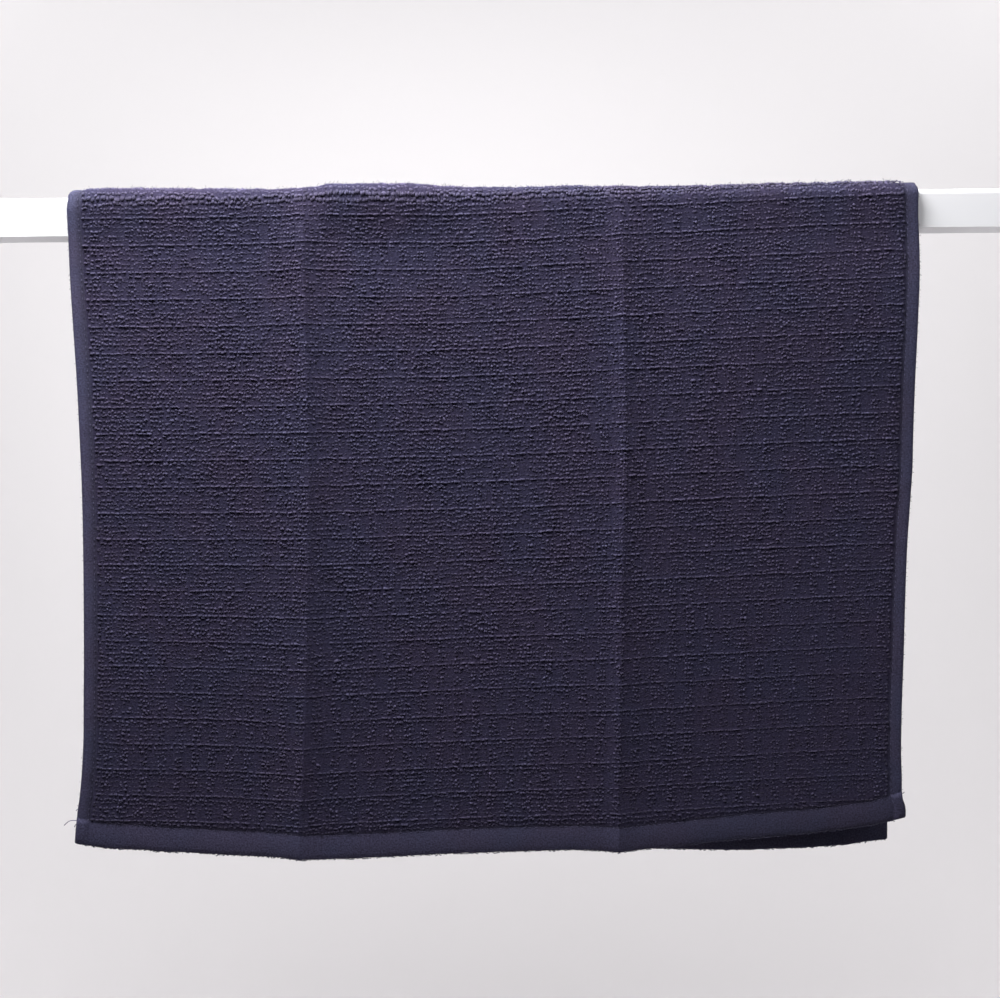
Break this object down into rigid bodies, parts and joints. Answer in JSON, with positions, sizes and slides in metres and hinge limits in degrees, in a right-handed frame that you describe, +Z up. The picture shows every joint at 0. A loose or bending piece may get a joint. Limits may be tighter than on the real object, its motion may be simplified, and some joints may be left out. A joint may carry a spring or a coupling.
{
  "type": "hand towel on a rail",
  "caption": "Ribbed terry hand towel with stitched hems, folded over a plain flat rail so that it hangs down in front and behind.",
  "frame": {"origin": "middle of the rail's left end face", "axes": "+X along the rail from its left end to its right end, -Y towards someone who looks at the towel, +Z up"},
  "size_m": [0.6, 0.0355, 0.3717],
  "materials": {
    "towel": "dark navy cotton terry in ribs and small blocks of loops, with smooth plain-woven hems",
    "rail": "white satin powder coat"
  },
  "bodies": {
    "root": {"towel": "towel", "rail": "rail"}
  },
  "joints": []
}
